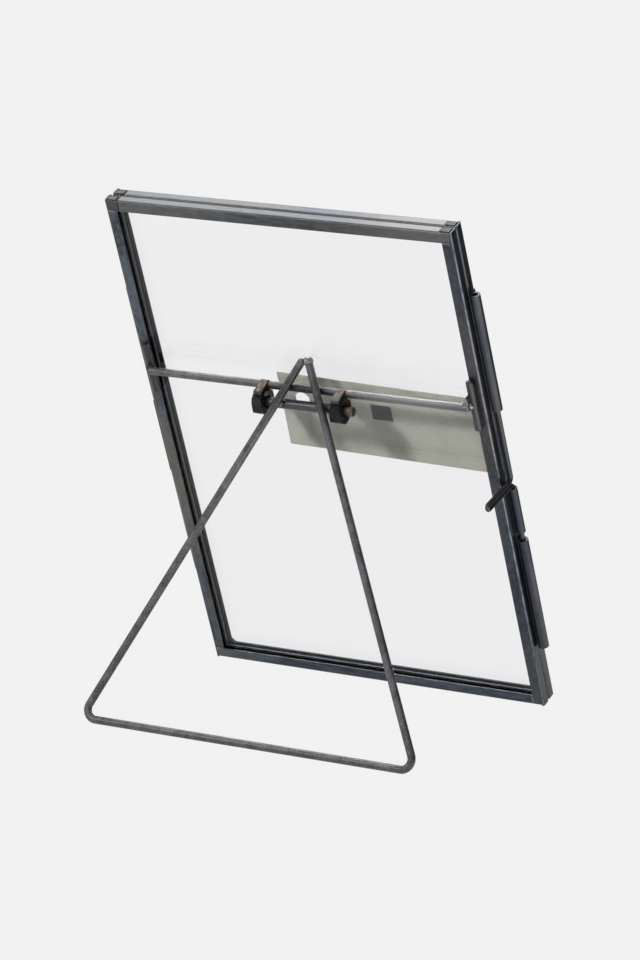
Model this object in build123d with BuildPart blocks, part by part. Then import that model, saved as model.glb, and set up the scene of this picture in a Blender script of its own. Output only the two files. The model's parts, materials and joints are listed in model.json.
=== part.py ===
from build123d import *
import os
from math import asin, atan2, cos, degrees, radians, sin, sqrt

# Two-leaf glass picture frame on a folding wire stand.
# The frame leans back on the stand. +Z is up, the picture side faces -Y and the stand is on +Y.
# Most pieces are placed in the frame's own leaning coordinates: u across (the hinge side is +u),
# v up along the frame from its bottom edge, and w out of its rear face.

# ---- driving dimensions, millimetres and degrees ----
frame_width = 120.0
frame_height = 175.0
lean = 22.4

# folded sheet channels that hold the glass
leaf_depth = 3.6
leaf_gap = 0.15
sheet = 0.5
back_lip, front_lip = 3.7, 2.8
edge_round = 0.8
front_inset = 0.8
seam_solder = (2.7, 0.9, 0.14)
seam_solder_shift = 0.3
seam_solder_round = 0.4
corner_fillet = 1.3

# panes and the paper tag between them
glass_thickness = 2.0
glass_edge_gap = 0.5
glass_corner = 0.4
tag_width, tag_height, tag_thickness = 69.0, 26.9, 0.3
tag_centre = (-21.1, 101.8)
tag_turn = 1.4
tag_hole = 5.0
tag_hole_centre = (5.8, 106.8)
tag_clear_of_pane = 0.2
sticker_width, sticker_height, sticker_thickness = 7.4, 5.8, 0.1
sticker_centre = (-21.8, 105.2)

# crossbar with its two feet
wire = 2.5
crossbar_ends = (-56.9, 55.9)
crossbar_v = 115.2
foot_wire = 2.4
foot_length = 18.0
foot_end_round = 0.8
foot_u = 57.0
foot_v = 114.6
foot_weld_radius = 1.5
foot_weld_inward = 0.9
solder_width = 2.6
solder_height = 0.7
solder_short = 1.2
crossbar_end_chamfer = 0.25

# pivot: two plain hex nuts brazed under the crossbar, and the pin that turns in them
pivot_v, pivot_w = 111.13, 6.99
pivot_pin = 3.2
pivot_pin_ends = (-17.9, 17.3)
pivot_pin_round = 0.5
nut_across_flats = 8.0
nut_thickness = 3.7
nut_bore = 4.13
nut_u = (14.1, -13.1)
nut_face_radius = 3.8
nut_bevel = (0.45, 1.2)
nut_tab_width = 2.9
nut_tab_thickness = 0.9
nut_tab_over_crossbar = 0.25
nut_tab_reach = 0.86

# wire stand
stand_stop_gap = 0.2
stand_above_pivot = 15.8
stand_half_width = 58.95
stand_corner_radius = 3.2
left_leg_short = 1.6
left_leg_round = 1.0
right_leg_short = 3.1
tip_weld_radius = 1.6
tip_weld_drop = 2.2
tip_weld_clear_of_glass = 0.1
pin_weld_radius = 1.65

# hinge tubes on one side, clasp tubes and the clasp pin on the other
hinge_tube, hinge_bore, hinge_pin_wire = 2.2, 1.4, 1.2
hinge_stand_off = 1.15
hinge_spans = {"upper": (101.0, 141.0), "middle": (74.0, 100.6), "lower": (33.6, 73.6)}
hinge_head = 1.9
hinge_head_thickness = 0.5
hinge_end_play = 0.2
clasp_tube, keeper_tube, clasp_bore, clasp_wire = 3.3, 2.7, 1.9, 1.5
clasp_stand_off = 1.9
clasp_upper_span = (110.6, 151.8)
keeper_span = (65.4, 81.9)
clasp_lower_span = (21.5, 62.5)
clasp_pin_top, clasp_pin_bottom = 133.0, 57.8
handle_v = 83.1
handle_length = 16.2
handle_rise = 6.0
handle_spacing = 1.6
handle_bend = 1.5
flange = 0.45
flange_reach = 2.9
flange_start = 0.5
flange_root = 0.4

# ---- places worked out from them ----
half_width = frame_width / 2
total_depth = 2 * leaf_depth + leaf_gap
joint_w = -leaf_depth - leaf_gap / 2
back_mid_w = -leaf_depth / 2
front_mid_w = -leaf_depth * 1.5 - leaf_gap
across = Vector(1, 0, 0)
up = Vector(0, sin(radians(lean)), cos(radians(lean)))
out = Vector(0, cos(radians(lean)), -sin(radians(lean)))

# the crossbar lies on the feet, and the stand's legs lean on the crossbar when it is open
crossbar_w = foot_wire + wire / 2
pin_to_leg = wire / 2 + pivot_pin / 2
reach = up * (crossbar_v - pivot_v) + out * (crossbar_w - pivot_w)
stop = pin_to_leg - wire - stand_stop_gap
stand_lean = degrees(atan2(-reach.Y, reach.Z) + asin(stop / sqrt(reach.Y**2 + reach.Z**2)))
leg_down = Vector(0, sin(radians(stand_lean)), -cos(radians(stand_lean)))
leg_out = Vector(0, cos(radians(stand_lean)), sin(radians(stand_lean)))

# the origin is under the middle of the footprint: the frame's front edge to the stand's foot
pivot_height = (up * pivot_v + out * pivot_w).Z
leg_below_pivot = (pivot_height + leg_out.Z * pin_to_leg - wire / 2) / -leg_down.Z
pivot_depth = (up * pivot_v + out * pivot_w).Y
foot_reach = pivot_depth + leg_out.Y * pin_to_leg + leg_down.Y * leg_below_pivot + wire / 2
front_reach = -total_depth * cos(radians(lean))
side_shift = (clasp_stand_off + clasp_tube / 2 - hinge_stand_off - hinge_tube / 2) / 2
frame_corner = Vector(side_shift, -(foot_reach + front_reach) / 2, 0)


def at(u, v, w):
    """A point given across, up and out of the frame."""
    return frame_corner + across * u + up * v + out * w


def face_plane(w):
    """Parallel to the glass. Its x is across, its y is up, and it extrudes to the front."""
    return Plane(origin=at(0, 0, w), x_dir=across, z_dir=-out)


def along_frame(u, v, w):
    """Square to the stiles. Its x is across and its y is out of the rear."""
    return Plane(origin=at(u, v, w), x_dir=across, z_dir=up)


def side_plane(u):
    """Square to the crossbar. Its x is out of the rear, its y is up, and it extrudes to +X."""
    return Plane(origin=at(u, 0, 0), x_dir=out, z_dir=across)


pieces = []


def keep(part, name):
    part.label = name
    pieces.append(part)
    return part


def cut_lips(sketch_plane, u_limits, v_limits):
    """Cuts a rectangle out of both lips of the channel being built."""
    with BuildSketch(sketch_plane) as window:
        with Locations(((u_limits[0] + u_limits[1]) / 2, (v_limits[0] + v_limits[1]) / 2)):
            Rectangle(abs(u_limits[1] - u_limits[0]), abs(v_limits[1] - v_limits[0]))
    extrude(window.sketch, amount=leaf_depth, both=True, mode=Mode.SUBTRACT)


def channel_profile(plane, lip):
    """The folded channel: its web at x = 0, open to +x."""
    with BuildSketch(plane) as profile:
        with Locations((lip / 2, 0)):
            Rectangle(lip, leaf_depth)
        fillet(profile.vertices().group_by(Axis.X)[0], edge_round)
        with Locations((lip / 2 + sheet, 0)):
            Rectangle(lip, leaf_depth - 2 * sheet, mode=Mode.SUBTRACT)
    return profile.sketch


# ---- the two leaves: four folded channels, a pane and the solder at the corners ----
front_hinge_u = half_width - front_inset
leaves = (("back", back_mid_w, half_width, back_lip), ("front", front_mid_w, front_hinge_u, front_lip))
for leaf, mid_w, hinge_u, lip in leaves:
    clasp_u = -half_width
    middle = face_plane(mid_w)
    hinge_edge = Plane(origin=at(hinge_u, 0, mid_w), x_dir=-across, z_dir=up)
    clasp_edge = Plane(origin=at(clasp_u, 0, mid_w), x_dir=across, z_dir=up)
    inner_hinge, inner_clasp = hinge_u - edge_round, clasp_u + edge_round

    # stiles: the web runs the whole height, the lips stop under the top channel
    with BuildPart() as hinge_stile:
        extrude(channel_profile(hinge_edge, lip), amount=frame_height)
        cut_lips(middle, (hinge_u - lip - 1, inner_hinge), (frame_height - lip, frame_height + 1))
        cut_lips(middle, (hinge_u - lip - 1, inner_hinge), (-1, lip))
    keep(hinge_stile.part, f"{leaf}_hinge_stile")

    with BuildPart() as clasp_stile:
        extrude(channel_profile(clasp_edge, lip), amount=frame_height)
        cut_lips(middle, (inner_clasp, clasp_u + lip + 1), (frame_height - lip, frame_height + 1))
        cut_lips(middle, (inner_clasp, clasp_u + lip + 1), (-1, edge_round))
    keep(clasp_stile.part, f"{leaf}_clasp_stile")

    # rails: they fit between the stiles' webs, and the bottom one butts against a lip
    rail_length = inner_hinge - inner_clasp
    top_edge = Plane(origin=at(inner_clasp, frame_height, mid_w), x_dir=-up, z_dir=across)
    bottom_edge = Plane(origin=at(inner_clasp, 0, mid_w), x_dir=up, z_dir=across)
    with BuildPart() as top_rail:
        extrude(channel_profile(top_edge, lip), amount=rail_length)
    keep(top_rail.part, f"{leaf}_top_rail")

    with BuildPart() as bottom_rail:
        extrude(channel_profile(bottom_edge, lip), amount=rail_length)
        cut_lips(middle, (inner_clasp - 1, clasp_u + lip), (edge_round, lip + 1))
    keep(bottom_rail.part, f"{leaf}_bottom_rail")

    # pane, loose in the channels' grooves
    pane_clasp = clasp_u + sheet + glass_edge_gap
    pane_hinge = hinge_u - sheet - glass_edge_gap
    pane_low = sheet + glass_edge_gap
    with BuildPart() as pane:
        with BuildSketch(face_plane(mid_w + glass_thickness / 2)):
            with Locations(((pane_clasp + pane_hinge) / 2, frame_height / 2)):
                Rectangle(pane_hinge - pane_clasp, frame_height - 2 * pane_low)
        extrude(amount=glass_thickness)
        chamfer(pane.edges().filter_by(Axis((0, 0, 0), tuple(out))), glass_corner)
    keep(pane.part, f"{leaf}_glass")

# solder run over the four seams on the rear face of the back leaf
seam_long, seam_short, seam_proud = seam_solder
beside = back_lip / 2 + seam_solder_shift
seams = (
    (half_width - beside, frame_height - back_lip, seam_long, seam_short),
    (beside - half_width, frame_height - back_lip, seam_long, seam_short),
    (half_width - beside, back_lip, seam_long, seam_short),
    (back_lip - half_width, beside, seam_short, seam_long),
)
with BuildPart() as back_corner_solder:
    with BuildSketch(face_plane(0)):
        for seam_u, seam_v, seam_width, seam_height in seams:
            with Locations((seam_u, seam_v)):
                RectangleRounded(seam_width, seam_height, seam_solder_round)
    extrude(amount=-seam_proud)
keep(back_corner_solder.part, "back_corner_solder")

# the show side is filed flush, so its solder is only a fillet in the opening's corners
opening_u = (front_lip - half_width, front_hinge_u - front_lip)
opening_v = (front_lip, frame_height - front_lip)
with BuildPart() as front_corner_solder:
    with BuildSketch(face_plane(-total_depth)):
        for corner_u, inward_u in zip(opening_u, (corner_fillet, -corner_fillet)):
            for corner_v, inward_v in zip(opening_v, (corner_fillet, -corner_fillet)):
                corner = (corner_u, corner_v)
                with BuildLine():
                    Polyline((corner_u + inward_u, corner_v), corner, (corner_u, corner_v + inward_v))
                    Line((corner_u, corner_v + inward_v), (corner_u + inward_u, corner_v))
                make_face()
    extrude(amount=-sheet)
keep(front_corner_solder.part, "front_corner_solder")

# ---- paper tag lying between the panes ----
tag_w = back_mid_w - glass_thickness / 2 - tag_clear_of_pane
with BuildPart() as paper_tag:
    with BuildSketch(face_plane(tag_w)):
        with Locations(Location((tag_centre[0], tag_centre[1], 0), (0, 0, tag_turn))):
            Rectangle(tag_width, tag_height)
        with Locations(tag_hole_centre):
            Circle(tag_hole / 2, mode=Mode.SUBTRACT)
    extrude(amount=tag_thickness)
keep(paper_tag.part, "paper_tag")

with BuildPart() as tag_sticker:
    with BuildSketch(face_plane(tag_w)):
        with Locations(Location((sticker_centre[0], sticker_centre[1], 0), (0, 0, tag_turn))):
            Rectangle(sticker_width, sticker_height)
    extrude(amount=-sticker_thickness)
keep(tag_sticker.part, "tag_sticker")

# ---- crossbar, its feet, and their welds and solder ----
with BuildPart() as crossbar:
    with BuildSketch(side_plane(crossbar_ends[0])):
        with Locations((crossbar_w, crossbar_v)):
            Circle(wire / 2)
    extrude(amount=crossbar_ends[1] - crossbar_ends[0])
    chamfer(crossbar.edges().filter_by(GeomType.CIRCLE), crossbar_end_chamfer)
keep(crossbar.part, "crossbar")

for side, sign in (("hinge", 1), ("clasp", -1)):
    with BuildPart() as foot:
        with BuildSketch(along_frame(sign * foot_u, foot_v - foot_length / 2, foot_wire / 2)):
            Circle(foot_wire / 2)
        extrude(amount=foot_length)
        fillet(foot.edges().filter_by(GeomType.CIRCLE), foot_end_round)
    keep(foot.part, f"crossbar_foot_{side}_side")

    with BuildPart() as foot_weld:
        with Locations(at(sign * (foot_u - foot_weld_inward), crossbar_v, foot_wire)):
            Sphere(foot_weld_radius)
        add(foot.part, mode=Mode.SUBTRACT)
        add(crossbar.part, mode=Mode.SUBTRACT)
    keep(foot_weld.part, f"crossbar_weld_{side}_side")

    with BuildPart() as foot_solder:
        with BuildSketch(along_frame(sign * foot_u, foot_v - foot_length / 2 + solder_short, 0)):
            with Locations((0, solder_height / 2)):
                Rectangle(solder_width, solder_height)
        extrude(amount=foot_length - 2 * solder_short)
        add(foot.part, mode=Mode.SUBTRACT)
    keep(foot_solder.part, f"foot_solder_{side}_side")

# ---- pivot nuts, one flat against the crossbar, and the tabs brazed over them ----
flat_turn = degrees(atan2(crossbar_v - pivot_v, crossbar_w - pivot_w))
corner_radius = nut_across_flats / 2 / cos(radians(30))
half_nut = nut_thickness / 2
bevel_along, bevel_out = nut_bevel
for side, nut_centre in zip(("hinge", "clasp"), nut_u):
    with BuildPart() as nut:
        with BuildSketch(side_plane(nut_centre - nut_thickness / 2)):
            with Locations(Location((pivot_w, pivot_v, 0), (0, 0, flat_turn + 30))):
                RegularPolygon(corner_radius, 6)
        extrude(amount=nut_thickness)
        nut_axis = Axis(at(nut_centre, pivot_v, pivot_w), across)
        bevel_plane = Plane(origin=at(nut_centre, pivot_v, pivot_w), x_dir=across, z_dir=out)
        with BuildSketch(bevel_plane):
            with BuildLine():
                Polyline(
                    (-half_nut, 0),
                    (-half_nut, nut_face_radius),
                    (bevel_along - half_nut, nut_face_radius + bevel_out),
                    (half_nut - bevel_along, nut_face_radius + bevel_out),
                    (half_nut, nut_face_radius),
                    (half_nut, 0),
                    close=True,
                )
            make_face()
        revolve(axis=nut_axis, mode=Mode.INTERSECT)
        with BuildSketch(side_plane(nut_centre - nut_thickness / 2)):
            with Locations((pivot_w, pivot_v)):
                Circle(nut_bore / 2)
        extrude(amount=nut_thickness, mode=Mode.SUBTRACT)
    keep(nut.part, f"pivot_nut_{side}_side")

    # the tab wraps the crossbar's rear and lies on the nut's upper flat
    next_flat = radians(flat_turn - 60)
    flat_reach = (nut_across_flats / 2 + nut_tab_thickness) * nut_tab_reach
    tab_end = (pivot_w + cos(next_flat) * flat_reach, pivot_v + sin(next_flat) * flat_reach)
    with BuildPart() as nut_tab:
        with BuildSketch(side_plane(nut_centre - nut_tab_width / 2)):
            with Locations((crossbar_w, crossbar_v)):
                Circle(wire / 2 + nut_tab_over_crossbar)
            with Locations(tab_end):
                Circle(nut_tab_thickness)
            make_hull()
        extrude(amount=nut_tab_width)
        add(nut.part, mode=Mode.SUBTRACT)
        add(crossbar.part, mode=Mode.SUBTRACT)
    keep(nut_tab.part, f"nut_tab_{side}_side")

# ---- stand: one bent wire, welded at its tip and across the pivot pin ----
pivot_point = at(0, pivot_v, pivot_w)
pivot_pin_length = pivot_pin_ends[1] - pivot_pin_ends[0]
with BuildPart() as pin:
    with BuildSketch(side_plane(pivot_pin_ends[0])):
        with Locations((pivot_w, pivot_v)):
            Circle(pivot_pin / 2)
    extrude(amount=pivot_pin_length)
    fillet(pin.edges().filter_by(GeomType.CIRCLE), pivot_pin_round)
keep(pin.part, "pivot_pin")

tip = pivot_point + leg_out * pin_to_leg - leg_down * stand_above_pivot
stand_plane = Plane(origin=tip, x_dir=across, z_dir=-leg_out)
stand_drop = leg_below_pivot + stand_above_pivot
stand_top_v = (tip - frame_corner).dot(up)
spread = stand_half_width / stand_drop
with BuildPart() as stand_wire:
    with BuildLine(stand_plane) as stand_path:
        FilletPolyline(
            (left_leg_short * spread, -left_leg_short),
            (stand_half_width, -stand_drop),
            (-stand_half_width, -stand_drop),
            (-right_leg_short * spread, -right_leg_short),
            radius=stand_corner_radius,
        )
    with BuildSketch(Plane(origin=stand_path.line @ 0, z_dir=stand_path.line % 0)):
        Circle(wire / 2)
    sweep()
    fillet(stand_wire.edges().filter_by(GeomType.CIRCLE).sort_by(Axis.Z)[-1], left_leg_round)
keep(stand_wire.part, "stand_wire")

# the bead on the right leg's end is dressed flat where it comes near the back glass
glass_rear = back_mid_w + glass_thickness / 2
bead_size = 6 * tip_weld_radius
with BuildPart() as tip_weld:
    with Locations(tip + (leg_down - across * spread) * tip_weld_drop):
        Sphere(tip_weld_radius)
    add(stand_wire.part, mode=Mode.SUBTRACT)
    with BuildSketch(face_plane(glass_rear + tip_weld_clear_of_glass)):
        with Locations((0, stand_top_v)):
            Rectangle(bead_size, bead_size)
    extrude(amount=bead_size, mode=Mode.SUBTRACT)
keep(tip_weld.part.solids().sort_by(SortBy.VOLUME)[-1], "stand_tip_weld")

with BuildPart() as pin_welds:
    for sign in (1, -1):
        weld_u = sign * spread * stand_above_pivot
        with Locations(pivot_point + across * weld_u + leg_out * (pivot_pin / 2)):
            Sphere(pin_weld_radius)
    add(stand_wire.part, mode=Mode.SUBTRACT)
    add(pin.part, mode=Mode.SUBTRACT)
keep(pin_welds.part, "pivot_pin_welds")


def side_tube(outer, bore, stand_off, span, sign, side_u, flange_sign):
    """A rolled tube along a stile's side, with the flange that is soldered to that side."""
    axis_u = sign * (half_width + stand_off)
    length = span[1] - span[0]
    with BuildPart() as tube:
        with BuildSketch(along_frame(0, span[0], joint_w)):
            with Locations((axis_u, 0)):
                Circle(outer / 2)
            near, far = sorted((side_u, sign * (half_width + flange)))
            with Locations(((near + far) / 2, flange_sign * (flange_start + flange_reach / 2))):
                Rectangle(far - near, flange_reach - flange_start)
            with Locations(((near + far + sign * flange_root) / 2, flange_sign * flange_start * 1.5)):
                Rectangle(far - near + flange_root, flange_start)
            with Locations((axis_u, 0)):
                Circle(bore / 2, mode=Mode.SUBTRACT)
        extrude(amount=length)
    return tube.part


# ---- hinge: two tubes on the front leaf, one on the back leaf, and the wire through them ----
hinge_sides = {"upper": (front_hinge_u, -1), "middle": (half_width, 1), "lower": (front_hinge_u, -1)}
for place, (side_u, leaf_sign) in hinge_sides.items():
    span = hinge_spans[place]
    knuckle = side_tube(hinge_tube, hinge_bore, hinge_stand_off, span, 1, side_u, leaf_sign)
    keep(knuckle, f"hinge_tube_{place}")

hinge_u = half_width + hinge_stand_off
hinge_low, hinge_high = hinge_spans["lower"][0], hinge_spans["upper"][1]
with BuildPart() as hinge_pin:
    with BuildSketch(along_frame(hinge_u, hinge_low - hinge_end_play, joint_w)):
        Circle(hinge_pin_wire / 2)
    extrude(amount=hinge_high - hinge_low + 2 * hinge_end_play)
    for head_v, grow in ((hinge_low, -1), (hinge_high, 1)):
        with BuildSketch(along_frame(hinge_u, head_v + grow * hinge_end_play, joint_w)):
            Circle(hinge_head / 2)
        extrude(amount=grow * hinge_head_thickness)
keep(hinge_pin.part, "hinge_pin")

# ---- clasp: two tubes on the front leaf, the keeper on the back leaf, and the sliding pin ----
clasp_parts = {
    "clasp_tube_upper": (clasp_tube, clasp_upper_span, -1),
    "clasp_keeper": (keeper_tube, keeper_span, 1),
    "clasp_tube_lower": (clasp_tube, clasp_lower_span, -1),
}
for name, (outer, span, leaf_sign) in clasp_parts.items():
    keep(side_tube(outer, clasp_bore, clasp_stand_off, span, -1, -half_width, leaf_sign), name)

# the pin is one wire: a leg in the upper tube, a hairpin handle to the rear, and a lower leg
clasp_plane = side_plane(-half_width - clasp_stand_off)
rise = radians(handle_rise)


def handle_point(along, above):
    """A point given along the handle and above its lower wire."""
    return (
        joint_w + along * cos(rise) - above * sin(rise),
        handle_v + along * sin(rise) + above * cos(rise),
    )


lower_corner = handle_point(0, 0)
upper_corner = (joint_w, handle_v + handle_spacing / cos(rise))
lower_tip = handle_point(handle_length, 0)
upper_tip = handle_point(handle_length, handle_spacing)
tip_bulge = handle_point(handle_length + handle_spacing / 2, handle_spacing / 2)
with BuildPart() as clasp_pin:
    with BuildLine(clasp_plane):
        FilletPolyline((joint_w, clasp_pin_top), upper_corner, upper_tip, radius=handle_bend)
        ThreePointArc(upper_tip, tip_bulge, lower_tip)
        FilletPolyline(lower_tip, lower_corner, (joint_w, clasp_pin_bottom), radius=handle_bend)
    with BuildSketch(along_frame(-half_width - clasp_stand_off, clasp_pin_top, joint_w)):
        Circle(clasp_wire / 2)
    sweep()
keep(clasp_pin.part, "clasp_pin")

# ---- one STEP file for each piece ----
os.makedirs("parts", exist_ok=True)
for piece in pieces:
    export_step(piece, f"parts/{piece.label}.step")
print(len(pieces), "pieces; the stand leans", round(stand_lean, 2), "degrees from upright")
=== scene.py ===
"""Looks for a two-leaf glass picture frame of blackened sheet steel on a folding wire stand.

Lengths are in metres. The frame leans back: +X is its hinge side, -Y its picture side, +Z up.
"""

import json
from math import atan2, cos, pi, radians, sin

import bmesh
import bpy
from bpy.props import FloatProperty, FloatVectorProperty, IntProperty, PointerProperty
from mathutils import Matrix, Vector, noise


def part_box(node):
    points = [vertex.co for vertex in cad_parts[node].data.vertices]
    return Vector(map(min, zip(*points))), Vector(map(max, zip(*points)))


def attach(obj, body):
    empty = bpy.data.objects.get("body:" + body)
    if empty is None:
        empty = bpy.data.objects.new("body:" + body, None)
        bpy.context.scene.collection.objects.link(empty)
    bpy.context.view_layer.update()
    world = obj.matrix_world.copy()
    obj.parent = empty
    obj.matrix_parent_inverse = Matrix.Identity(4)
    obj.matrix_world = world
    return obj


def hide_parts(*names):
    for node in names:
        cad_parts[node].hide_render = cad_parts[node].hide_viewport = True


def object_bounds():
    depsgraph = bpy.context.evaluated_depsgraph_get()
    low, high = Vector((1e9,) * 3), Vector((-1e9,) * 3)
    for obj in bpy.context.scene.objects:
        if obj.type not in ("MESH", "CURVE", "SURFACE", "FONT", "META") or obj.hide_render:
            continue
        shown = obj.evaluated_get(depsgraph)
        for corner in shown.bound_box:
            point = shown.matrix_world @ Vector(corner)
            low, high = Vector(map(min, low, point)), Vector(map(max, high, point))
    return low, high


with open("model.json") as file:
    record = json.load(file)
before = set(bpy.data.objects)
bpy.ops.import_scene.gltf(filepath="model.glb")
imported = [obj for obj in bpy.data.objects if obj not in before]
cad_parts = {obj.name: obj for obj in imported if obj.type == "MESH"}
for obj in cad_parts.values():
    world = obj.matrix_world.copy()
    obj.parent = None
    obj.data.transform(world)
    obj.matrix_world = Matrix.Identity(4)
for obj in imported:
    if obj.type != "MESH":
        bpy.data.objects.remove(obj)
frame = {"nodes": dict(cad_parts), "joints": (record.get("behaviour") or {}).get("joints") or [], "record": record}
CAD_LOW, CAD_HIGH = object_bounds()

bl_info = {
    "name": "Glass Picture Frame on a Wire Stand",
    "version": (1, 0, 0),
    "blender": (4, 5, 0),
    "location": "View3D > Sidebar > Picture Frame",
    "description": "Finishes the frame's steel, panes, tag, welds and solder, and sets its stage",
    "category": "Object",
}

NODES = frame["nodes"]
BODY_OF = {node: body for body, nodes in frame["record"]["behaviour"]["bodies"].items() for node in nodes}
UP = Vector(next(joint["axis"] for joint in frame["joints"] if joint["name"] == "front_leaf_hinge"))
LEAN = atan2(UP.y, UP.z)
ACROSS = Vector((1, 0, 0))
OUT = Vector((0, cos(LEAN), -sin(LEAN)))
MM = 0.001

# Each leaf's half width and half height outside, the thickness of its sheet, and how far its lips'
# outer and inner faces are from its middle.
HALF_WIDTH = {"back": 60.0 * MM, "front": 59.6 * MM}
HALF_HEIGHT = 87.5 * MM
SHEET = 0.5 * MM
LIP_FACE = 1.8 * MM
LIP_BACK = LIP_FACE - SHEET
STICKER_HALF_HEIGHT = 2.9 * MM


def middle(node):
    """The middle of a node's box."""
    low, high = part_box(node)
    return (low + high) / 2


def leaning(point):
    """A point's coordinates across, out of and up the leaning frame."""
    return Vector((point.x, point.dot(OUT), point.dot(UP)))


# ---- values a user may change ----


class PictureFrameSizes(bpy.types.PropertyGroup):
    """Sizes of the hand-made details."""

    weld_grain: FloatProperty(
        name="Weld grain",
        description="How finely the welds and the solder are modelled",
        default=0.16 * MM,
        unit="LENGTH",
        precision=5,
    )
    weld_lumps: FloatProperty(
        name="Weld lumps",
        description="How far the lumps of welds and solder stand out",
        default=0.12 * MM,
        unit="LENGTH",
        precision=5,
    )
    fillet_reach: FloatProperty(
        name="Weld fillet",
        description="How far the fillet runs along the crossbar and up its foot",
        default=3.4 * MM,
        unit="LENGTH",
        precision=5,
    )
    view_turn: FloatProperty(
        name="View turn",
        description="The camera's turn round the frame, from straight in front",
        default=radians(209.11),
        subtype="ANGLE",
    )
    view_rise: FloatProperty(
        name="View rise",
        description="The camera's angle above the floor",
        default=radians(13.42),
        subtype="ANGLE",
    )
    view_distance: FloatProperty(
        name="View distance",
        description="From the camera to what it aims at",
        default=1.3478,
        unit="LENGTH",
    )
    view_aim: FloatVectorProperty(
        name="View aim",
        description="What the camera aims at, from the middle of the frame",
        default=(-1.63 * MM, 2.23 * MM, -6.78 * MM),
        subtype="TRANSLATION",
        unit="LENGTH",
    )
    lens: FloatProperty(
        name="Lens",
        description="Focal length of the camera, in millimetres on a 36 mm sensor",
        default=163.2,
    )
    random_seed: IntProperty(
        name="Seed",
        description="Starts the noise that shapes the welds",
        default=7,
    )


def colour(name, description, default):
    """A colour property."""
    return FloatVectorProperty(
        name=name, description=description, default=default, subtype="COLOR", size=3, min=0.0, max=1.0
    )


class PictureFrameColours(bpy.types.PropertyGroup):
    """Colours of the finishes, in linear light."""

    sheet_dark: colour("Sheet, dark", "Blackened sheet where the finish is thick", (0.027, 0.032, 0.042))
    sheet_light: colour("Sheet, light", "Blackened sheet where the finish is thin", (0.106, 0.120, 0.142))
    sheet_stain: colour("Sheet, stain", "Olive and brown stains on the sheet", (0.175, 0.155, 0.118))
    seam_brown: colour("Sheet, corners", "Browned sheet round the soldered corners", (0.052, 0.045, 0.038))
    # Painted shade: this near-black is laid inside the folded channels and on the lips' edges, where shade falls.
    painted_channel_shade: colour("Sheet, hollow", "The inside of the folded channels", (0.007, 0.008, 0.011))
    seam_gap: colour("Seam", "The gap between two pieces of sheet", (0.008, 0.008, 0.008))
    pits: colour("Pits", "Small pits in every blackened finish", (0.012, 0.012, 0.014))
    # Lighter and warmer towards the clasp-side top corner of each leaf.
    top_corner_tone: colour("Sheet, handled", "Worn thin and warm by handling", (0.170, 0.156, 0.142))
    burnt: colour("Burnt flux", "Burnt black round a foot and the pivot", (0.014, 0.013, 0.015))
    # Partly painted highlight: this pale blue-grey on the rounded ridges stands in for their highlight, and partly
    # for steel rubbed bare by handling.
    ridge_sheen_and_bare_steel: colour("Bare steel", "Where handling has rubbed the finish off", (0.330, 0.345, 0.365))
    wire_dark: colour("Wire, dark", "Blackened wire", (0.050, 0.050, 0.053))
    wire_light: colour("Wire, light", "Blackened wire where the finish is thin", (0.205, 0.205, 0.214))
    # Painted highlight: this paler wire tone is laid on the crossbar towards the clasp, standing in for its
    # brighter highlight there.
    painted_crossbar_highlight: colour("Wire, worn", "Wire worn bright towards the clasp", (0.200, 0.196, 0.193))
    wire_stain: colour("Wire, stain", "Brown heat stains on the wire", (0.095, 0.078, 0.066))
    nut_dark: colour("Nut, dark", "The nuts' black finish", (0.008, 0.008, 0.009))
    braze: colour("Braze", "Brazed and heat-browned steel", (0.120, 0.086, 0.066))
    braze_dark: colour("Braze, dark", "Burnt flux on the brazing", (0.022, 0.018, 0.016))
    solder: colour("Solder", "Blackened solder", (0.230, 0.235, 0.240))
    pane: colour("Pane", "Tint of the clear panes", (0.978, 0.976, 0.984))
    paper: colour("Tag", "Grey-green tag paper", (0.262, 0.262, 0.222))
    paper_fibre: colour("Tag fibre", "Darker fibres in the tag", (0.200, 0.201, 0.172))
    label: colour("Label", "Dark label on the tag", (0.012, 0.015, 0.021))
    floor: colour("Floor", "The pale floor and backdrop", (0.884, 0.884, 0.884))


def sizes():
    """The sizes set on the scene."""
    return bpy.context.scene.picture_frame_sizes


def colours():
    """The colours set on the scene."""
    return bpy.context.scene.picture_frame_colours


# ---- node helpers ----


def add_node(tree, kind, **settings):
    """A node with its plain settings, and its input sockets by name in `values`."""
    node = tree.nodes.new(kind)
    values = settings.pop("values", {})
    for name, value in settings.items():
        setattr(node, name, value)
    for name, value in values.items():
        if isinstance(value, bpy.types.NodeSocket):
            tree.links.new(value, node.inputs[name])
        else:
            node.inputs[name].default_value = value
    return node


def math(tree, operation, first, second=0.0, clamp=False):
    """One Math node's output."""
    return add_node(
        tree, "ShaderNodeMath", operation=operation, use_clamp=clamp, values={0: first, 1: second}
    ).outputs[0]


def blend_colours(tree, share, first, second, mode="MIX"):
    """One colour Mix node's output."""
    node = tree.nodes.new("ShaderNodeMix")
    node.data_type = "RGBA"
    node.blend_type = mode
    for socket, value in ((node.inputs[0], share), (node.inputs[6], first), (node.inputs[7], second)):
        if isinstance(value, bpy.types.NodeSocket):
            tree.links.new(value, socket)
        else:
            socket.default_value = value
    return node.outputs[2]


def ramp(tree, value, low, high):
    """Value stretched so that low is 0 and high is 1, smoothly."""
    return add_node(
        tree,
        "ShaderNodeMapRange",
        interpolation_type="SMOOTHSTEP",
        values={"Value": value, "From Min": low, "From Max": high},
    ).outputs[0]


def noise_of(tree, place, scale, detail=3.0, roughness=0.55, distortion=0.0):
    """One Noise texture's factor."""
    return add_node(
        tree,
        "ShaderNodeTexNoise",
        values={
            "Vector": place,
            "Scale": scale,
            "Detail": detail,
            "Roughness": roughness,
            "Distortion": distortion,
        },
    ).outputs[0]


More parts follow.
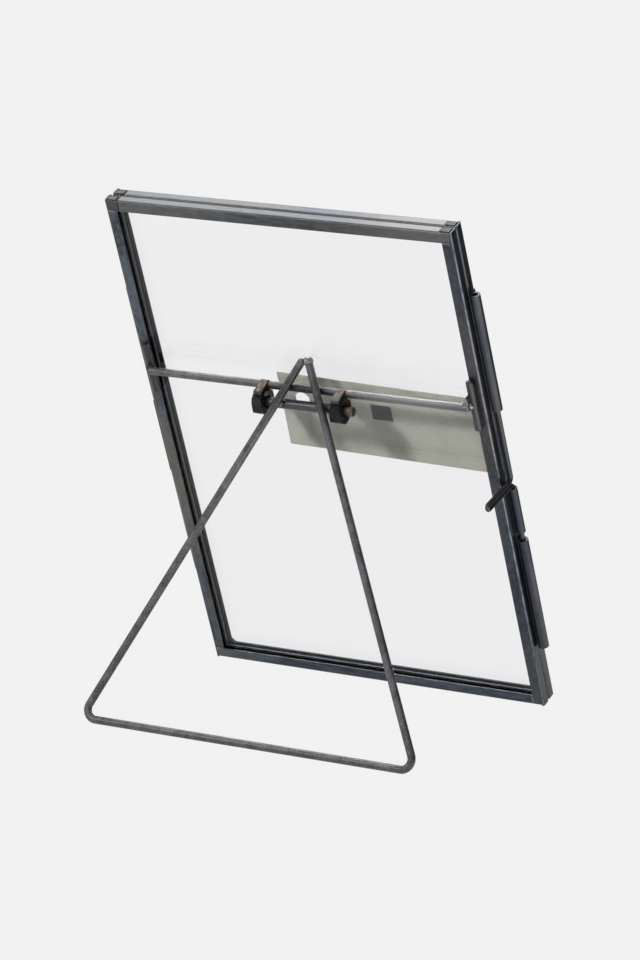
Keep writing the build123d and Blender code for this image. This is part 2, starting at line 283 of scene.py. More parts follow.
def new_group(name, inputs, outputs):
    """An empty shader node group with its sockets, its input node and its output node."""
    tree = bpy.data.node_groups.new(name, "ShaderNodeTree")
    for title, kind, default in inputs:
        socket = tree.interface.new_socket(title, in_out="INPUT", socket_type=kind)
        if default is not None:
            socket.default_value = default
    for title, kind in outputs:
        tree.interface.new_socket(title, in_out="OUTPUT", socket_type=kind)
    return tree, tree.nodes.new("NodeGroupInput"), tree.nodes.new("NodeGroupOutput")


def use_group(tree, group, **values):
    """The group placed in a material, with underscores standing for its sockets' spaces."""
    node = tree.nodes.new("ShaderNodeGroup")
    node.node_tree = group
    for name, value in values.items():
        socket = node.inputs[name.replace("_", " ")]
        if isinstance(value, bpy.types.NodeSocket):
            tree.links.new(value, socket)
        else:
            socket.default_value = value
    return node


def opaque(rgb):
    """A colour with full alpha."""
    return (*rgb, 1.0)


# ---- shared effects ----


def patina_group():
    """Chemical blackening: cloudy, streaked and stained."""
    tree, given, made = new_group(
        "Patina",
        [
            ("Place", "NodeSocketVector", None),
            ("Dark", "NodeSocketColor", opaque((0.05, 0.05, 0.05))),
            ("Light", "NodeSocketColor", opaque((0.2, 0.2, 0.2))),
            ("Stain", "NodeSocketColor", opaque((0.1, 0.1, 0.1))),
            ("Cloud Scale", "NodeSocketFloat", 60.0),
            ("Streak Scale", "NodeSocketFloat", 900.0),
            ("Light Share", "NodeSocketFloat", 0.5),
            ("Stain Share", "NodeSocketFloat", 0.3),
            ("Roughness", "NodeSocketFloat", 0.4),
        ],
        [
            ("Color", "NodeSocketColor"),
            ("Roughness", "NodeSocketFloat"),
            ("Height", "NodeSocketFloat"),
        ],
    )
    take = given.outputs
    cloud = noise_of(tree, take["Place"], take["Cloud Scale"], detail=5.0, roughness=0.6, distortion=0.6)
    streak = noise_of(tree, take["Place"], take["Streak Scale"], detail=4.0, roughness=0.7)
    speck = noise_of(tree, take["Place"], math(tree, "MULTIPLY", take["Streak Scale"], 2.7), detail=2.0)
    thin_clouds = math(tree, "MULTIPLY", ramp(tree, cloud, 0.30, 0.72), 0.55)
    thin_streaks = math(tree, "MULTIPLY", ramp(tree, streak, 0.40, 0.64), 0.50)
    thin = math(tree, "ADD", thin_clouds, thin_streaks)
    lightened = math(tree, "MULTIPLY", thin, take["Light Share"], clamp=True)
    base = blend_colours(tree, lightened, take["Dark"], take["Light"])
    patch = noise_of(tree, take["Place"], math(tree, "MULTIPLY", take["Cloud Scale"], 0.55), detail=6.0)
    stained = math(tree, "MULTIPLY", ramp(tree, patch, 0.42, 0.62), take["Stain Share"], clamp=True)
    base = blend_colours(tree, stained, base, take["Stain"])
    pits = ramp(tree, speck, 0.62, 0.74)
    base = blend_colours(tree, math(tree, "MULTIPLY", pits, 0.35), base, opaque(colours().pits))
    tree.links.new(base, made.inputs["Color"])
    from_clouds = math(tree, "MULTIPLY", math(tree, "SUBTRACT", cloud, 0.5), 0.30)
    from_streaks = math(tree, "MULTIPLY", math(tree, "SUBTRACT", streak, 0.5), 0.18)
    varied = math(tree, "ADD", take["Roughness"], from_clouds)
    varied = math(tree, "ADD", varied, from_streaks, clamp=True)
    tree.links.new(varied, made.inputs["Roughness"])
    bumps = math(tree, "ADD", math(tree, "MULTIPLY", streak, 0.6), math(tree, "MULTIPLY", cloud, 0.8))
    tree.links.new(math(tree, "SUBTRACT", bumps, math(tree, "MULTIPLY", pits, 0.3)), made.inputs["Height"])
    return tree


def ridge_light_and_wear_group():
    """The rounded ridges of folded sheet, lightened partly as a painted highlight and partly where handling rubs
    the finish off.
    """
    tree, given, made = new_group(
        "Ridge Highlight And Wear",
        [
            ("Place", "NodeSocketVector", None),
            ("Normal", "NodeSocketVector", None),
            ("Amount", "NodeSocketFloat", 0.6),
        ],
        [("Mask", "NodeSocketFloat")],
    )
    take = given.outputs
    upright = add_node(tree, "ShaderNodeVectorMath", operation="ABSOLUTE", values={0: take["Normal"]})
    parts = add_node(tree, "ShaderNodeSeparateXYZ", values={0: upright.outputs[0]})
    most = math(tree, "MAXIMUM", math(tree, "MAXIMUM", parts.outputs[0], parts.outputs[1]), parts.outputs[2])
    ridge = ramp(tree, math(tree, "SUBTRACT", 1.0, most), 0.04, 0.26)
    broken = ramp(tree, noise_of(tree, take["Place"], 260.0, detail=5.0, roughness=0.7), 0.30, 0.66)
    mask = math(tree, "MULTIPLY", math(tree, "MULTIPLY", ridge, broken), take["Amount"], clamp=True)
    tree.links.new(mask, made.inputs["Mask"])
    return tree


def dust_group():
    """Fine dust and rubbed smears, as a share from 0 to 1."""
    tree, given, made = new_group(
        "Dust",
        [
            ("Place", "NodeSocketVector", None),
            ("Scale", "NodeSocketFloat", 400.0),
            ("Amount", "NodeSocketFloat", 0.3),
        ],
        [("Mask", "NodeSocketFloat")],
    )
    take = given.outputs
    specks = ramp(tree, noise_of(tree, take["Place"], take["Scale"], detail=2.0), 0.66, 0.74)
    smears = ramp(tree, noise_of(tree, take["Place"], 28.0, detail=4.0, distortion=1.2), 0.50, 0.80)
    both = math(tree, "ADD", math(tree, "MULTIPLY", specks, 0.5), math(tree, "MULTIPLY", smears, 0.5))
    tree.links.new(math(tree, "MULTIPLY", both, take["Amount"], clamp=True), made.inputs["Mask"])
    return tree


def inside_group():
    """Up to 1 inside a leaf's folded channels and on its lips' edges, where shade is painted, 0 on the outer
    faces.
    """
    tree, given, made = new_group(
        "Inside Fold",
        [
            ("Place", "NodeSocketVector", None),
            ("Middle", "NodeSocketVector", None),
            ("Half Width", "NodeSocketFloat", 0.06),
            ("Half Height", "NodeSocketFloat", 0.0875),
        ],
        [("Mask", "NodeSocketFloat")],
    )
    take = given.outputs
    offset = add_node(
        tree, "ShaderNodeVectorMath", operation="SUBTRACT", values={0: take["Place"], 1: take["Middle"]}
    )
    parts = add_node(tree, "ShaderNodeSeparateXYZ", values={0: offset.outputs[0]}).outputs
    from_side = math(tree, "SUBTRACT", take["Half Width"], math(tree, "ABSOLUTE", parts[0]))
    from_end = math(tree, "SUBTRACT", take["Half Height"], math(tree, "ABSOLUTE", parts[2]))
    from_edge = math(tree, "MINIMUM", from_side, from_end)
    depth = math(tree, "ABSOLUTE", parts[1])
    past_sheet = ramp(tree, from_edge, SHEET - 0.08 * MM, SHEET)
    between_lips = ramp(tree, depth, LIP_BACK + 0.06 * MM, LIP_BACK + 0.01 * MM)
    between = math(tree, "MULTIPLY", past_sheet, between_lips)
    on_lip = ramp(tree, from_edge, 1.6 * MM, 2.0 * MM)
    under_face = ramp(tree, depth, LIP_FACE - 0.01 * MM, LIP_FACE - 0.03 * MM)
    lip_edge = math(tree, "MULTIPLY", on_lip, under_face)
    mask = math(tree, "MAXIMUM", between, math(tree, "MULTIPLY", lip_edge, 0.8))
    tree.links.new(mask, made.inputs["Mask"])
    return tree


def seam_group():
    """A dark seam across a rail near its hinge end, and a mask for the browned corner beyond it."""
    tree, given, made = new_group(
        "Corner Seam",
        [
            ("Place", "NodeSocketVector", None),
            ("Reach", "NodeSocketFloat", 0.056),
            ("Width", "NodeSocketFloat", 0.0003),
        ],
        [("Seam", "NodeSocketFloat"), ("Corner", "NodeSocketFloat")],
    )
    take = given.outputs
    parts = add_node(tree, "ShaderNodeSeparateXYZ", values={0: take["Place"]})
    wander = math(tree, "SUBTRACT", noise_of(tree, take["Place"], 700.0), 0.5)
    along = math(tree, "ADD", parts.outputs[0], math(tree, "MULTIPLY", wander, 0.0008))
    past = math(tree, "SUBTRACT", along, take["Reach"])
    apart = math(tree, "DIVIDE", math(tree, "ABSOLUTE", past), take["Width"])
    tree.links.new(ramp(tree, apart, 1.0, 0.3), made.inputs["Seam"])
    tree.links.new(ramp(tree, past, 0.0, 0.0004), made.inputs["Corner"])
    return tree


def shared(name, build):
    """A shared effect, built the first time it is asked for."""
    return bpy.data.node_groups.get(name) or build()


# ---- materials ----


def new_material(name):
    """A material with its tree and its shader."""
    material = bpy.data.materials.new(name)
    material.use_nodes = True
    tree = material.node_tree
    tree.nodes.clear()
    shader = tree.nodes.new("ShaderNodeBsdfPrincipled")
    surface = tree.nodes.new("ShaderNodeOutputMaterial")
    tree.links.new(shader.outputs[0], surface.inputs["Surface"])
    return material, tree, shader


def leaning_place(tree, stretch=(1.0, 1.0, 1.0)):
    """Object coordinates turned upright with the frame: x across, y out, z up the frame."""
    source = tree.nodes.new("ShaderNodeTexCoord")
    return add_node(
        tree,
        "ShaderNodeMapping",
        values={"Vector": source.outputs["Object"], "Rotation": (LEAN, 0.0, 0.0), "Scale": stretch},
    ).outputs[0]


def leaning_normal(tree):
    """The surface normal in the same upright axes."""
    source = tree.nodes.new("ShaderNodeTexCoord")
    return add_node(
        tree,
        "ShaderNodeMapping",
        vector_type="VECTOR",
        values={"Vector": source.outputs["Normal"], "Rotation": (LEAN, 0.0, 0.0)},
    ).outputs[0]


def near(tree, point, reach):
    """1 at a point of the object, falling smoothly to 0 at reach."""
    source = tree.nodes.new("ShaderNodeTexCoord")
    apart = add_node(
        tree, "ShaderNodeVectorMath", operation="DISTANCE", values={0: source.outputs["Object"], 1: point}
    ).outputs["Value"]
    return ramp(tree, apart, reach, reach * 0.15)


def set_bump(tree, shader, height, strength, distance):
    """Joins a height to a shader as a bump."""
    bump = add_node(
        tree, "ShaderNodeBump", values={"Height": height, "Strength": strength, "Distance": distance}
    )
    tree.links.new(bump.outputs[0], shader.inputs["Normal"])


def blackened_sheet(name, stretch, light_share, stain_share, ridge_shine, leaf=None, corners=False, burnt=None):
    """Folded sheet: blue-grey blackening, stained in places, its ridges lightened by painted highlight and
    rubbing, and painted shade inside its channels.
    """
    material, tree, shader = new_material(name)
    place = leaning_place(tree, stretch)
    patina = use_group(
        tree,
        shared("Patina", patina_group),
        Place=place,
        Dark=opaque(colours().sheet_dark),
        Light=opaque(colours().sheet_light),
        Stain=opaque(colours().sheet_stain),
        Cloud_Scale=85.0,
        Streak_Scale=1100.0,
        Light_Share=light_share,
        Stain_Share=stain_share,
        Roughness=0.40,
    )
    ridge_light = use_group(
        tree,
        shared("Ridge Highlight And Wear", ridge_light_and_wear_group),
        Place=leaning_place(tree),
        Normal=leaning_normal(tree),
        Amount=ridge_shine,
    )
    finish = patina.outputs["Color"]
    # Painted ridge highlight, partly rubbed wear: the rounded ridges are lightened towards pale steel.
    finish = blend_colours(tree, ridge_light.outputs["Mask"], finish, opaque(colours().ridge_sheen_and_bare_steel))
    if leaf:
        inside = use_group(
            tree,
            shared("Inside Fold", inside_group),
            Place=leaning_place(tree),
            Middle=leaning(middle(f"{leaf}_glass")),
            Half_Width=HALF_WIDTH[leaf],
            Half_Height=HALF_HEIGHT,
        )
        # Painted shade: darkens the sheet inside the folded channels and on the lips' edges.
        channel_shade_share = math(tree, "MULTIPLY", inside.outputs["Mask"], 0.8)
        finish = blend_colours(tree, channel_shade_share, finish, opaque(colours().painted_channel_shade))
    if burnt:
        scorched = math(tree, "MULTIPLY", near(tree, burnt, 13 * MM), 0.9)
        finish = blend_colours(tree, scorched, finish, opaque(colours().burnt))
    if corners:
        top_corner = middle(f"{leaf}_clasp_stile") + UP * HALF_HEIGHT
        # Lighter and warmer towards the clasp-side top corner.
        top_corner_tone = math(tree, "MULTIPLY", near(tree, top_corner, 46 * MM), 0.55)
        finish = blend_colours(tree, top_corner_tone, finish, opaque(colours().top_corner_tone))
        seam = use_group(tree, shared("Corner Seam", seam_group), Place=leaning_place(tree))
        browned = math(tree, "MULTIPLY", seam.outputs["Corner"], 0.65)
        finish = blend_colours(tree, browned, finish, opaque(colours().seam_brown))
        finish = blend_colours(tree, seam.outputs["Seam"], finish, opaque(colours().seam_gap))
    tree.links.new(finish, shader.inputs["Base Color"])
    tree.links.new(patina.outputs["Roughness"], shader.inputs["Roughness"])
    shader.inputs["Metallic"].default_value = 0.92
    shader.inputs["Coat Weight"].default_value = 0.05
    shader.inputs["Coat Roughness"].default_value = 0.28
    set_bump(tree, shader, patina.outputs["Height"], 0.35, 0.06 * MM)
    return material


def blackened_wire(name, light_share, stain_share, roughness, spots=(), leaning=True):
    """Drawn wire: near black, with paler patches, brown stains and spots of other tones."""
    material, tree, shader = new_material(name)
    place = leaning_place(tree) if leaning else tree.nodes.new("ShaderNodeTexCoord").outputs["Object"]
    patina = use_group(
        tree,
        shared("Patina", patina_group),
        Place=place,
        Dark=opaque(colours().wire_dark),
        Light=opaque(colours().wire_light),
        Stain=opaque(colours().wire_stain),
        Cloud_Scale=210.0,
        Streak_Scale=1500.0,
        Light_Share=light_share,
        Stain_Share=stain_share,
        Roughness=roughness,
    )
    finish = patina.outputs["Color"]
    for point, reach, tone in spots:
        share = math(tree, "MULTIPLY", near(tree, point, reach), 0.75)
        finish = blend_colours(tree, share, finish, opaque(tone))
    tree.links.new(finish, shader.inputs["Base Color"])
    tree.links.new(patina.outputs["Roughness"], shader.inputs["Roughness"])
    shader.inputs["Metallic"].default_value = 0.92
    shader.inputs["Coat Weight"].default_value = 0.15
    shader.inputs["Coat Roughness"].default_value = 0.25
    set_bump(tree, shader, patina.outputs["Height"], 0.30, 0.05 * MM)
    return material


def give(node, material):
    """Puts a material on a CAD node."""
    slots = NODES[node].data.materials
    slots.clear()
    slots.append(material)


# ---- mesh helpers ----


def new_piece(name, mesh, material, body, replaces=()):
    """A piece of the object: its mesh, its finish and the body that it moves with."""
    piece = bpy.data.objects.new(name, mesh)
    bpy.context.scene.collection.objects.link(piece)
    mesh.materials.clear()
    mesh.materials.append(material)
    for polygon in mesh.polygons:
        polygon.use_smooth = True
    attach(piece, body)
    if replaces:
        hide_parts(*replaces)
    return piece


def melted(mesh, grain, lumps, lump_size, rounds, seed):
    """The same shape as if run molten: one closed skin, its corners softened, its surface lumpy."""
    holder = bpy.data.objects.new("melting", mesh)
    bpy.context.scene.collection.objects.link(holder)
    remesh = holder.modifiers.new("skin", "REMESH")
    remesh.mode = "VOXEL"
    remesh.voxel_size = grain
    soften = holder.modifiers.new("soften", "SMOOTH")
    soften.factor = 0.5
    soften.iterations = rounds
    evaluated = holder.evaluated_get(bpy.context.evaluated_depsgraph_get())
    skin = bpy.data.meshes.new_from_object(evaluated)
    bpy.data.objects.remove(holder)
    normals = [vertex.normal.copy() for vertex in skin.vertices]
    start = Vector((seed * 1.7, seed * 0.6, -seed))
    for vertex, normal in zip(skin.vertices, normals):
        swell = noise.fractal(vertex.co / lump_size + start, 0.8, 2.0, 3)
        vertex.co += normal * swell * lumps
    return skin


def copy_of(*nodes):
    """One mesh holding a copy of each CAD node's."""
    build = bmesh.new()
    for node in nodes:
        build.from_mesh(NODES[node].data)
    mesh = bpy.data.meshes.new("_and_".join(nodes))
    build.to_mesh(mesh)
    build.free()
    return mesh


def joined(*meshes):
    """One mesh holding all of these."""
    build = bmesh.new()
    for mesh in meshes:
        build.from_mesh(mesh)
    mesh = bpy.data.meshes.new("joined")
    build.to_mesh(mesh)
    build.free()
    return mesh


# ---- operators ----


class PieceOperator(bpy.types.Operator):
    """Shared by the operators below."""

    bl_options = {"REGISTER", "UNDO"}


class PICTUREFRAME_OT_sheet(PieceOperator):
    """Finishes the folded channels, the hinge and the clasp tubes in blackened sheet"""

    bl_idname = "pictureframe.sheet"
    bl_label = "Folded Sheet"

    def execute(self, context):
        along_stile = (1.0, 1.0, 0.18)
        along_rail = (0.18, 1.0, 1.0)
        for leaf in HALF_WIDTH:
            burnt = middle("crossbar_foot_hinge_side") if leaf == "back" else None
            clasp_shares = {"back": (0.6, 0.2, 0.5), "front": (0.7, 0.25, 0.08)}[leaf]
            # The hinge stiles' full light share is partly painted reflection, standing in for the brighter floor
            # that they reflect, and partly their own paler olive-stained finish.
            hinge_sheet = blackened_sheet(
                f"{leaf}_hinge_stile_sheet", along_stile, 1.0, 0.45, 0.1, leaf, burnt=burnt
            )
            clasp_sheet = blackened_sheet(f"{leaf}_clasp_stile_sheet", along_stile, *clasp_shares, leaf)
            top_sheet = blackened_sheet(f"{leaf}_top_rail_sheet", along_rail, 0.9, 0.3, 0.06, leaf, True)
            bottom_sheet = blackened_sheet(f"{leaf}_bottom_rail_sheet", along_rail, 0.9, 0.3, 0.02, leaf)
            give(f"{leaf}_hinge_stile", hinge_sheet)
            give(f"{leaf}_clasp_stile", clasp_sheet)
            give(f"{leaf}_top_rail", top_sheet)
            give(f"{leaf}_bottom_rail", bottom_sheet)
        tubes = blackened_sheet("tube_sheet", along_stile, 0.3, 0.2, 0.0)
        for node in ("hinge_tube_upper", "hinge_tube_middle", "hinge_tube_lower",
                     "clasp_tube_upper", "clasp_keeper", "clasp_tube_lower"):
            give(node, tubes)
        return {"FINISHED"}


def flap_mesh(corner, along, back, lift):
    """A little tab of sheet folded over a corner, its free edge curled up and ragged."""
    build = bmesh.new()
    length, depth, thickness = 3.4 * MM, 2.2 * MM, 0.10 * MM
    columns, rows = 10, 6
    layers = []
    for level in (0.0, thickness):
        layer = []
        for column in range(columns + 1):
            share = column / columns
            line = []
            for row in range(rows + 1):
                across = row / rows - 0.5
                ragged = noise.noise(Vector((share * 3.0, across * 4.0, corner.x * 90.0))) * 0.25 * MM
                curl = 0.16 * MM * share**4
                reach = length * share + ragged * share
                spot = corner + along * reach + back * (across * depth)
                line.append(build.verts.new(spot + lift * (level + curl)))
            layer.append(line)
        layers.append(layer)
    low, high = layers
    for column in range(columns):
        for row in range(rows):
            for layer, turned in ((low, True), (high, False)):
                near_line, far_line = layer[column], layer[column + 1]
                ring = [near_line[row], far_line[row], far_line[row + 1], near_line[row + 1]]
                build.faces.new(ring[::-1] if turned else ring)
    rim = [(column, 0) for column in range(columns)] + [(columns, row) for row in range(rows)]
    rim += [(column, rows) for column in range(columns, 0, -1)] + [(0, row) for row in range(rows, 0, -1)]
    for index, (column, row) in enumerate(rim):
        next_column, next_row = rim[(index + 1) % len(rim)]
        lower = (low[column][row], low[next_column][next_row])
        upper = (high[next_column][next_row], high[column][row])
        build.faces.new(lower + upper)
    bmesh.ops.recalc_face_normals(build, faces=build.faces)
    mesh = bpy.data.meshes.new("corner_flap")
    build.to_mesh(mesh)
    build.free()
    return mesh


class PICTUREFRAME_OT_flaps(PieceOperator):
    """Folds a small tab of each stile over each end of the top rails"""

    bl_idname = "pictureframe.flaps"
    bl_label = "Corner Flaps"

    def execute(self, context):
        material, tree, shader = new_material("flap_finish")
        patina = use_group(
            tree, shared("Patina", patina_group), Place=leaning_place(tree),
            Dark=opaque(colours().seam_brown * 0.5), Light=opaque(colours().sheet_light),
            Stain=opaque(colours().seam_brown), Cloud_Scale=500.0, Streak_Scale=1500.0,
            Light_Share=0.35, Stain_Share=0.6, Roughness=0.40,
        )
        tree.links.new(patina.outputs["Color"], shader.inputs["Base Color"])
        tree.links.new(patina.outputs["Roughness"], shader.inputs["Roughness"])
        shader.inputs["Metallic"].default_value = 0.9
        set_bump(tree, shader, patina.outputs["Height"], 0.5, 0.06 * MM)
        for leaf, half_width in HALF_WIDTH.items():
            pane = middle(f"{leaf}_glass")
            top = pane + UP * (HALF_HEIGHT + 0.01 * MM) + OUT * 0.3 * MM
            flaps = []
            for side in (-1, 1):
                corner = top + ACROSS * side * (half_width - 0.7 * MM)
                flaps.append(flap_mesh(corner, ACROSS * -side, OUT, UP))
            new_piece(f"corner_flaps_{leaf}", joined(*flaps), material, f"{leaf}_leaf")
        return {"FINISHED"}


class PICTUREFRAME_OT_wires(PieceOperator):
    """Finishes the crossbar, its feet, the pins and the stand in blackened wire"""

    bl_idname = "pictureframe.wires"
    bl_label = "Wires"

    def execute(self, context):
        nuts = [middle("pivot_nut_hinge_side"), middle("pivot_nut_clasp_side")]
        bar = middle("crossbar")
        spots = [(bar, 17 * MM, colours().burnt)]
        spots += [(Vector((nut.x, bar.y, bar.z)), 4 * MM, colours().braze) for nut in nuts]
        # Painted highlight: the crossbar's clasp end is lightened to stand in for its brighter highlight.
        spots.append((bar - ACROSS * 38 * MM, 26 * MM, colours().painted_crossbar_highlight))
        give("crossbar", blackened_wire("crossbar_wire", 0.8, 0.4, 0.42, spots))
        feet = blackened_wire("foot_wire", 0.1, 0.05, 0.36)
        give("crossbar_foot_hinge_side", feet)
        give("crossbar_foot_clasp_side", feet)
        stand_spots = [(middle("pivot_pin"), 18 * MM, colours().burnt)]
        give("stand_wire", blackened_wire("stand_wire_finish", 0.8, 0.25, 0.40, stand_spots, leaning=False))
        pin_spots = [(middle("pivot_pin") - ACROSS * 17 * MM, 5 * MM, colours().braze)]
        give("pivot_pin", blackened_wire("pivot_pin_finish", 0.15, 0.5, 0.30, pin_spots))
        give("hinge_pin", feet)
        give("clasp_pin", blackened_wire("clasp_pin_finish", 0.08, 0.05, 0.38))
        return {"FINISHED"}


class PICTUREFRAME_OT_pivot(PieceOperator):
    """Finishes the two hex nuts and builds the brazed straps over them"""

    bl_idname = "pictureframe.pivot"
    bl_label = "Pivot"

    def execute(self, context):
        nut_material, tree, shader = new_material("nut_finish")
        place = leaning_place(tree)
        patina = use_group(
            tree, shared("Patina", patina_group), Place=place,
            Dark=opaque(colours().nut_dark), Light=opaque(colours().wire_dark),
            Stain=opaque(colours().wire_stain), Cloud_Scale=300.0, Streak_Scale=1800.0,
            Light_Share=0.3, Stain_Share=0.15, Roughness=0.24,
        )
        finish = patina.outputs["Color"]
        for side in ("hinge", "clasp"):
            share = math(tree, "MULTIPLY", near(tree, middle(f"nut_tab_{side}_side"), 3.6 * MM), 0.7)
            finish = blend_colours(tree, share, finish, opaque(colours().braze_dark))
        tree.links.new(finish, shader.inputs["Base Color"])
        tree.links.new(patina.outputs["Roughness"], shader.inputs["Roughness"])
        shader.inputs["Metallic"].default_value = 0.85
        shader.inputs["Coat Weight"].default_value = 0.12
        shader.inputs["Coat Roughness"].default_value = 0.12
        set_bump(tree, shader, patina.outputs["Height"], 0.4, 0.05 * MM)

        braze_material, tree, shader = new_material("braze_finish")
        patina = use_group(
            tree, shared("Patina", patina_group), Place=leaning_place(tree),
            Dark=opaque(colours().braze_dark), Light=opaque(colours().braze),
            Stain=opaque(colours().wire_dark), Cloud_Scale=420.0, Streak_Scale=1700.0,
            Light_Share=0.95, Stain_Share=0.8, Roughness=0.42,
        )
        tree.links.new(patina.outputs["Color"], shader.inputs["Base Color"])
        tree.links.new(patina.outputs["Roughness"], shader.inputs["Roughness"])
        shader.inputs["Metallic"].default_value = 0.9
        set_bump(tree, shader, patina.outputs["Height"], 0.5, 0.08 * MM)

        for seed, side in enumerate(("hinge", "clasp")):
            give(f"pivot_nut_{side}_side", nut_material)
            node = f"nut_tab_{side}_side"
            grain, lumps = sizes().weld_grain, sizes().weld_lumps
            skin = melted(copy_of(node), grain, lumps, 1.6 * MM, 3, sizes().random_seed + seed)
            name = f"braze_strap_{side}_side"
            new_piece(name, skin, braze_material, BODY_OF[node], [node])
        return {"FINISHED"}


def fillet_mesh(corner, along, rise, reach, thickness):
    """A concave web in the corner between two wires, running reach along each."""
    build = bmesh.new()
    side = along.cross(rise).normalized()
    steps = 10
    rim = [corner - (along + rise) * 0.6 * MM]
    for step in range(steps + 1):
        turn = pi / 2 * step / steps
        rim.append(corner + along * reach * (1 - sin(turn)) + rise * reach * (1 - cos(turn)))
    faces = []
    for shift in (-thickness / 2, thickness / 2):
        faces.append([build.verts.new(point + side * shift) for point in rim])
    build.faces.new(faces[0])
    build.faces.new(list(reversed(faces[1])))
    for index in range(len(rim)):
        after = (index + 1) % len(rim)
        build.faces.new((faces[0][after], faces[0][index], faces[1][index], faces[1][after]))
    bmesh.ops.recalc_face_normals(build, faces=build.faces)
    mesh = bpy.data.meshes.new("fillet")
    build.to_mesh(mesh)
    build.free()
    return mesh


class PICTUREFRAME_OT_welds(PieceOperator):
    """Builds the welds and the feet's solder, and finishes the solder in the corners"""

    bl_idname = "pictureframe.welds"
    bl_label = "Welds and Solder"

    def execute(self, context):
        solder = self.solder_material("solder_finish", colours().sheet_dark, colours().solder, 0.30)
        scorched = self.solder_material("burnt_solder_finish", colours().burnt, colours().wire_dark, 0.38)
        bright = self.solder_material("bead_finish", colours().wire_light, colours().solder, 0.22)

        grain, lumps, seed = sizes().weld_grain, sizes().weld_lumps, sizes().random_seed
        foot = middle("crossbar_foot_clasp_side")
        bar = middle("crossbar")
        corner = bar + ACROSS * (foot.x - bar.x + 0.8 * MM) + UP * 0.9 * MM - OUT * 0.7 * MM
        web = fillet_mesh(corner, ACROSS, UP, sizes().fillet_reach, 2.3 * MM)
        welds = (
            ("crossbar_weld_hinge_side", "weld_crossbar_hinge_side", scorched, lumps, 1.4),
            ("crossbar_weld_clasp_side", "weld_crossbar_clasp_side", bright, lumps, 1.4),
            ("foot_solder_hinge_side", "solder_foot_hinge_side", scorched, lumps * 1.2, 1.8),
            ("foot_solder_clasp_side", "solder_foot_clasp_side", scorched, lumps * 1.2, 1.8),
            ("stand_tip_weld", "weld_stand_tip", bright, lumps * 0.5, 1.2),
            ("pivot_pin_welds", "welds_pivot_pin", solder, lumps * 0.7, 1.2),
        )
        for node, name, material, lump, lump_size in welds:
            shape = copy_of(node)
            if node == "crossbar_weld_clasp_side":
                shape = joined(shape, web)
            skin = melted(shape, grain, lump, lump_size * MM, 3, seed)
            new_piece(name, skin, material, BODY_OF[node], [node])
        for node in ("back_corner_solder", "front_corner_solder"):
            give(node, solder)
        return {"FINISHED"}

    def solder_material(self, name, dark, light, roughness):
        """Solder or weld metal between two tones."""
        material, tree, shader = new_material(name)
        patina = use_group(
            tree, shared("Patina", patina_group), Place=leaning_place(tree),
            Dark=opaque(dark), Light=opaque(light),
            Stain=opaque(colours().sheet_stain), Cloud_Scale=380.0, Streak_Scale=1500.0,
            Light_Share=1.0, Stain_Share=0.25, Roughness=roughness,
        )
        tree.links.new(patina.outputs["Color"], shader.inputs["Base Color"])
        tree.links.new(patina.outputs["Roughness"], shader.inputs["Roughness"])
        shader.inputs["Metallic"].default_value = 0.92
        set_bump(tree, shader, patina.outputs["Height"], 0.5, 0.06 * MM)
        return material


class PICTUREFRAME_OT_panes(PieceOperator):
    """Finishes the two panes in clear glass with a little dust"""

    bl_idname = "pictureframe.panes"
    bl_label = "Panes"

    def execute(self, context):
        material, tree, shader = new_material("clear_pane")
        shader.inputs["Base Color"].default_value = opaque(colours().pane)
        shader.inputs["Transmission Weight"].default_value = 1.0
        # Lower than real glass, so that less of the pale floor is reflected over the dark grooves.
        shader.inputs["IOR"].default_value = 1.3
        dust = use_group(
            tree, shared("Dust", dust_group), Place=leaning_place(tree), Scale=900.0, Amount=0.06
        )
        tree.links.new(dust.outputs["Mask"], shader.inputs["Roughness"])
        clear = add_node(tree, "ShaderNodeBsdfTransparent", values={"Color": opaque((0.93, 0.94, 0.94))})
        path = tree.nodes.new("ShaderNodeLightPath")
        mix = tree.nodes.new("ShaderNodeMixShader")
        tree.links.new(path.outputs["Is Shadow Ray"], mix.inputs[0])
        tree.links.new(shader.outputs[0], mix.inputs[1])
        tree.links.new(clear.outputs[0], mix.inputs[2])
        surface = next(node for node in tree.nodes if node.type == "OUTPUT_MATERIAL")
        tree.links.new(mix.outputs[0], surface.inputs["Surface"])
        give("back_glass", material)
        give("front_glass", material)
        return {"FINISHED"}


